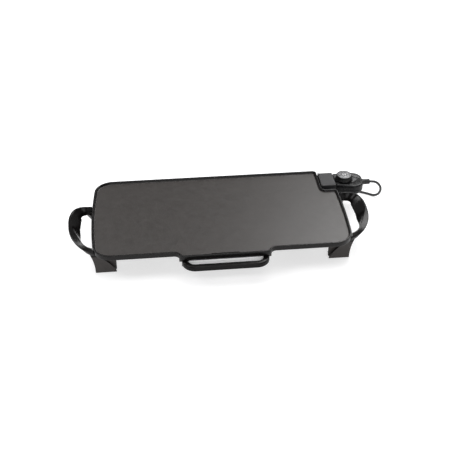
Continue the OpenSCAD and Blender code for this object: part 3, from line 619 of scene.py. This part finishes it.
# ---------------------------------------------------------------- drip tray
def rounded_box_2d(x0, y0, x1, y1, r, i, n=8):
    r2 = max(0.05, r - i)
    return (arc(x1 - r, y1 - r, r2, 90, 0, n) + arc(x1 - r, y0 + r, r2, 0, -90, n)
            + arc(x0 + r, y0 + r, r2, -90, -180, n) + arc(x0 + r, y1 - r, r2, 180, 90, n))


# pan with a rolled edge, a lip along each side for the rails, and the flap the grip is riveted to
PAN_X, PAN_FRONT, PAN_BACK, GRIP_X, GRIP_Y, GRIP_R = 80, -154, -44, 91.5, -182, 28
sh = Shells()
sh.stack(lambda i: rounded_box_2d(-PAN_X, PAN_FRONT, PAN_X, PAN_BACK, 8, i),
         [(3.2, 22.0), (1.6, 22.25), (0.5, 23.2), (0.0, 24.8), (0.0, 40.3), (0.4, 40.9), (1.0, 41.0),
          (1.6, 40.8), (2.0, 40.2), (2.0, 26.0), (2.5, 24.5), (3.6, 23.8), (5.5, 23.6)])
for s in (-1, 1):
    lip = round_poly([(s * 77.5, 39.5), (s * 89, 39.5), (s * 89, 41), (s * 77.5, 41)], 0.6)
    sh.prism(lip, -138, -52, axis="y")
flap = round_poly([(-GRIP_X, 36), (GRIP_X, 36), (GRIP_X, 50.5), (-GRIP_X, 50.5)], 2.0, 5)
sh.prism(flap, PAN_FRONT, PAN_FRONT + 2, axis="y")
dress(sh.make("drip_tray_pan"), "tray", "tray_metal", "drip_tray")

panel = round_poly([(-154, 50.4), (-155.3, 50.4), (-159.9, 38.8), (-159.9, 37.1), (-154, 37.1)], 0.5)
sh = Shells()
sh.rings([[(x, p[0], p[1]) for p in panel] for x in (-78.4, -78.0, -40, 0, 40, 78.0, 78.4)])
dress(sh.make("tray_bright_panel"), "tray", "bright_panel", "tray_faceplate")


def grip_rings():
    """The grip's bar: a rounded section carried round the U, from its left end to its right."""
    half = 6.25
    arm, r = GRIP_X - half, GRIP_R - half
    line = [(-arm, -153.6), (-arm, -153.75)]
    line += arc(GRIP_R - GRIP_X, GRIP_Y + GRIP_R, r, 180, 270, 20)
    line += [(-40, GRIP_Y + half), (0, GRIP_Y + half), (40, GRIP_Y + half)]
    line += arc(GRIP_X - GRIP_R, GRIP_Y + GRIP_R, r, 270, 360, 20)
    line += [(arm, -153.75), (arm, -153.6)]
    rings = []
    section = round_poly([(-half, 41.5), (half, 41.5), (half - 0.3, 52.9), (1 - half, 52.3)], 2.6, 6)
    for k, (x, y) in enumerate(line):
        a, b = line[max(0, k - 1)], line[min(len(line) - 1, k + 1)]
        d = Vector((b[0] - a[0], b[1] - a[1])).normalized()
        n = Vector((-d.y, d.x))
        rings.append([(x + n.x * q, y + n.y * q, z) for q, z in section])
    return rings


sh = Shells()
sh.rings(grip_rings())
dress(sh.make("tray_grip_bar"), "tray", "handle_plastic", "tray_grip")


# ---------------------------------------------------------------- heat control
BODY_X0, BODY_X1, KNOB_X, KNOB_Y, KNOB_R = 280.0, 345.0, 301.5, 97.0, 19.5


def turn_corner(p, a, b, r, n=5):
    """A rounded corner at p between the directions to a and to b."""
    p, a, b = Vector(p), Vector(a), Vector(b)
    s, e = p + (a - p).normalized() * r, p + (b - p).normalized() * r
    return [tuple((1 - k / n) ** 2 * s + 2 * k / n * (1 - k / n) * p + (k / n) ** 2 * e)
            for k in range(n + 1)]


def control_outline(i):
    """Straight back and left end, front edge flaring out to the rounded right end."""
    r, cx, slope = 22.0 - i, BODY_X1 - 22.0, 14.0
    front, back = AXIS_Y - 6.5, AXIS_Y + 9.0
    x0 = BODY_X0 + min(i, 0.8)
    round_end = arc(cx, back, r, 90, 0, 16) + arc(cx, front, r, 0, -90 - slope, 24)
    touch = round_end[-1]
    low = (x0, touch[1] + (touch[0] - x0) * math.tan(math.radians(slope)))
    high = (x0, back + r)
    return (round_end + turn_corner(low, touch, high, 2.2) + turn_corner(high, low, round_end[0], 2.2))


def recess_outline(i):
    """A round bay for the knob, drawn out to a rounded point beside it: two circles and their tangents."""
    r1, r2 = KNOB_R + 0.5 - i, 5.0 - i
    dx, dy = 31.5, -2.0
    lean = math.degrees(math.atan2(dy, dx))
    open_angle = math.degrees(math.acos((r1 - r2) / math.hypot(dx, dy)))
    return (arc(KNOB_X, KNOB_Y, r1, lean - open_angle, lean - 360 + open_angle, 56)
            + arc(KNOB_X + dx, KNOB_Y + dy, r2, lean + open_angle, lean - open_angle, 16))


def lens_outline(i):
    """The pilot window beside the knob, following the bay's edge, shrunk about its middle."""
    corners = [(20.7, 8), (32, -1), (13.5, -17.5), (19, -8.5), (21, -1)]
    tri = round_poly([(KNOB_X + u, KNOB_Y + v) for u, v in corners], 2.5, 5)
    mx, my = KNOB_X + 24.0, KNOB_Y - 2.5
    k = 1 - i / 8.0
    return [(mx + (x - mx) * k, my + (y - my) * k) for x, y in tri]


# the cover is one mesh: its outer wall, its top with the bay left open, and the bay's wall and floor
bm = bmesh.new()


def ring_in(points, z):
    vs = [bm.verts.new(at(x, y, z)) for x, y in points]
    return vs


def bridge(a, b):
    for j in range(len(a)):
        bm.faces.new((a[j], a[(j + 1) % len(a)], b[(j + 1) % len(a)], b[j]))


def loop_edges(vs):
    return [bm.edges.get((vs[j], vs[(j + 1) % len(vs)])) or bm.edges.new((vs[j], vs[(j + 1) % len(vs)]))
            for j in range(len(vs))]


OUTER = [(1.2, 54.15), (0.45, 54.2), (0.1, 54.5), (0.0, 55.0), (0.0, 59.0), (0.0, 63.6), (0.12, 64.6),
         (0.5, 65.6), (1.15, 66.35), (2.0, 66.8), (3.0, 67.0), (3.6, 67.0)]
rings = [ring_in(control_outline(i), z) for i, z in OUTER]
for a, b in zip(rings, rings[1:]):
    bridge(a, b)
bm.faces.new(rings[0])
RECESS = [(-0.35, 67.0), (0.0, 66.93), (0.2, 66.7), (0.35, 66.2), (0.7, 65.87), (1.2, 65.8)]
inner = [ring_in(recess_outline(i), z) for i, z in RECESS]
for a, b in zip(inner, inner[1:]):
    bridge(a, b)
bmesh.ops.triangle_fill(bm, use_beauty=True, edges=loop_edges(rings[-1]) + loop_edges(inner[0]))
bm.faces.new(inner[-1])
mesh = bpy.data.meshes.new("control_cover_moulding")
bmesh.ops.recalc_face_normals(bm, faces=bm.faces)
bm.to_mesh(mesh)
bm.free()
mesh.shade_smooth()
mesh.set_sharp_from_angle(angle=math.radians(50))
dress(linked("control_cover_moulding", mesh), "heat_control", "control_plastic", "control_cover")
dress(mould(copy_node("control_base"), 0.55, 3, 0.35), "heat_control", "control_plastic", "control_base")
sh = Shells()
sh.stack(lens_outline, [(0.0, 65.4), (0.0, 66.1), (0.15, 66.28), (0.4, 66.37), (0.8, 66.4)])
dress(sh.make("pilot_window"), "heat_control", "smoke_lens", "pilot_lens")
dress(mould(copy_node("strain_relief"), 0.35, 2), "heat_control", "black_rubber", "strain_relief")


# ---------------------------------------------------------------- dial
FLUTES, KNOB_POINTS, TURN_DEG = 24, 240, 285.0


def knob_ring(r, z, flute):
    """One ring of the knob's side, with grooves of depth flute."""
    out = []
    for k in range(KNOB_POINTS):
        t = 2 * math.pi * k / KNOB_POINTS
        dip = flute * (0.5 + 0.5 * math.cos(FLUTES * t)) ** 2
        out.append((KNOB_X + (r - dip) * math.cos(t), KNOB_Y + (r - dip) * math.sin(t), z))
    return out


sh = Shells()
sh.rings([knob_ring(*k) for k in
          [(18.9, 67.6, 0), (19.35, 67.85, 0), (19.5, 68.3, 0), (19.25, 69.6, 0), (19.05, 70.1, 0.1),
           (18.9, 70.9, 0.9), (17.75, 77.2, 0.9), (17.55, 78.2, 0.7), (17.2, 78.9, 0.4), (16.7, 79.35, 0.1),
           (16.4, 79.45, 0), (16.15, 79.35, 0), (16.0, 79.0, 0), (15.9, 78.4, 0), (15.7, 78.1, 0)]])
dress(sh.make("knob_moulding"), "dial", "knob_plastic", "control_knob")
sh = Shells()
sh.lathe((KNOB_X, KNOB_Y, 0), [(15.8, 78.1), (15.8, 78.7), (15.5, 78.9), (12.4, 79.0), (12.2, 78.9),
                                (12.0, 79.0), (8.0, 79.05)], 96)
dress(sh.make("dial_disc"), "dial", "dial_metal", "dial_face")
# pointer bars, ticks and numbers printed on the dial
sh = Shells()
for s in (-1, 1):
    bar = [(KNOB_X + s * 2.5 + u, KNOB_Y + v) for u, v in
           round_poly([(-1.0, -3.6), (1.0, -3.6), (1.0, 3.6), (-1.0, 3.6)], 0.8)]
    sh.prism(bar, 78.9, 79.45)
TICKS = 30
for k in range(TICKS):
    t = math.radians(90 - TURN_DEG * k / (TICKS - 1))
    u, v = Vector((math.cos(t), math.sin(t))), Vector((-math.sin(t), math.cos(t)))
    r0, half = (13.0, 0.3) if k % 5 == 0 else (13.8, 0.19)
    quad = [u * r0 + v * half, u * 15.2 + v * half, u * 15.2 - v * half, u * r0 - v * half]
    sh.prism([(KNOB_X + q.x, KNOB_Y + q.y) for q in quad], 78.8, 79.1)
marks = sh.make("dial_marks")
bm = bmesh.new()
bm.from_mesh(marks.data)
WORDS = ("0", "200", "250", "300", "350", "400")
for k, word in enumerate(WORDS):
    t = math.radians(90 - TURN_DEG * k / (len(WORDS) - 1))
    text = bpy.data.curves.new("number", "FONT")
    text.body, text.size, text.align_x, text.align_y = word, 0.0036, "CENTER", "CENTER"
    text.extrude = 0.00008
    text_ob = bpy.data.objects.new("number", text)
    number = bpy.data.meshes.new_from_object(text_ob)
    spot = at(KNOB_X + 9.6 * math.cos(t), KNOB_Y + 9.6 * math.sin(t), 79.08)
    number.transform(Matrix.Translation(spot) @ Matrix.Rotation(t - math.pi / 2, 4, "Z"))
    bm.from_mesh(number)
    bpy.data.objects.remove(text_ob)
    bpy.data.curves.remove(text)
    bpy.data.meshes.remove(number)
bm.to_mesh(marks.data)
bm.free()
marks.data.shade_flat()
dress(marks, "dial", "dial_metal", mat="dial_print")


# ---------------------------------------------------------------- stage
# the floor gives off some light itself, so that the shadows stay pale
FLOOR_HALF = 14
floor_corners = [(x * FLOOR_HALF, y * FLOOR_HALF, 0) for x, y in ((-1, -1), (1, -1), (1, 1), (-1, 1))]
floor = new_object("floor", floor_corners, [(0, 1, 2, 3)])
floor_mat = bpy.data.materials.new("floor")
floor_mat.use_nodes = True
floor_bsdf = floor_mat.node_tree.nodes["Principled BSDF"]
floor_bsdf.inputs["Base Color"].default_value = (0.55, 0.55, 0.555, 1)
floor_bsdf.inputs["Emission Color"].default_value = (1.0, 1.0, 1.0, 1)
floor_bsdf.inputs["Emission Strength"].default_value = 0.62
floor_bsdf.inputs["Roughness"].default_value = 0.9
floor_bsdf.inputs["Specular IOR Level"].default_value = 0.1
floor.data.materials.append(floor_mat)
floor.location.z = -0.0003

world = bpy.data.worlds.new("studio")
world.use_nodes = True
world.node_tree.nodes["Background"].inputs["Color"].default_value = (1.0, 1.0, 1.0, 1)
world.node_tree.nodes["Background"].inputs["Strength"].default_value = 0.32
bpy.context.scene.world = world


def soft_light(name, place, aim, size, power):
    """A square light of the given size and power, turned towards aim."""
    data = bpy.data.lights.new(name, "AREA")
    data.shape = "RECTANGLE"
    data.size, data.size_y, data.energy = size, size, power
    ob = linked(name, data)
    ob.location = place
    ob.rotation_euler = (Vector(aim) - Vector(place)).to_track_quat("-Z", "Y").to_euler()


soft_light("overhead", (0.1, 0.3, 3.0), (0, 0, 0), 3.0, 62)
soft_light("key", (0.9, 1.3, 1.65), (0.15, 0, 0), 0.9, 27)
soft_light("rim_left", (-1.25, 1.35, 1.55), (-0.3, 0, 0), 0.5, 13)
soft_light("high_left", (-1.3, -0.3, 1.5), (0.3, 0, 0), 0.7, 9)
soft_light("front", (0.1, -2.7, 0.95), (0.0, -0.15, 0.04), 1.4, 20)
bpy.context.scene.view_settings.view_transform = "Standard"
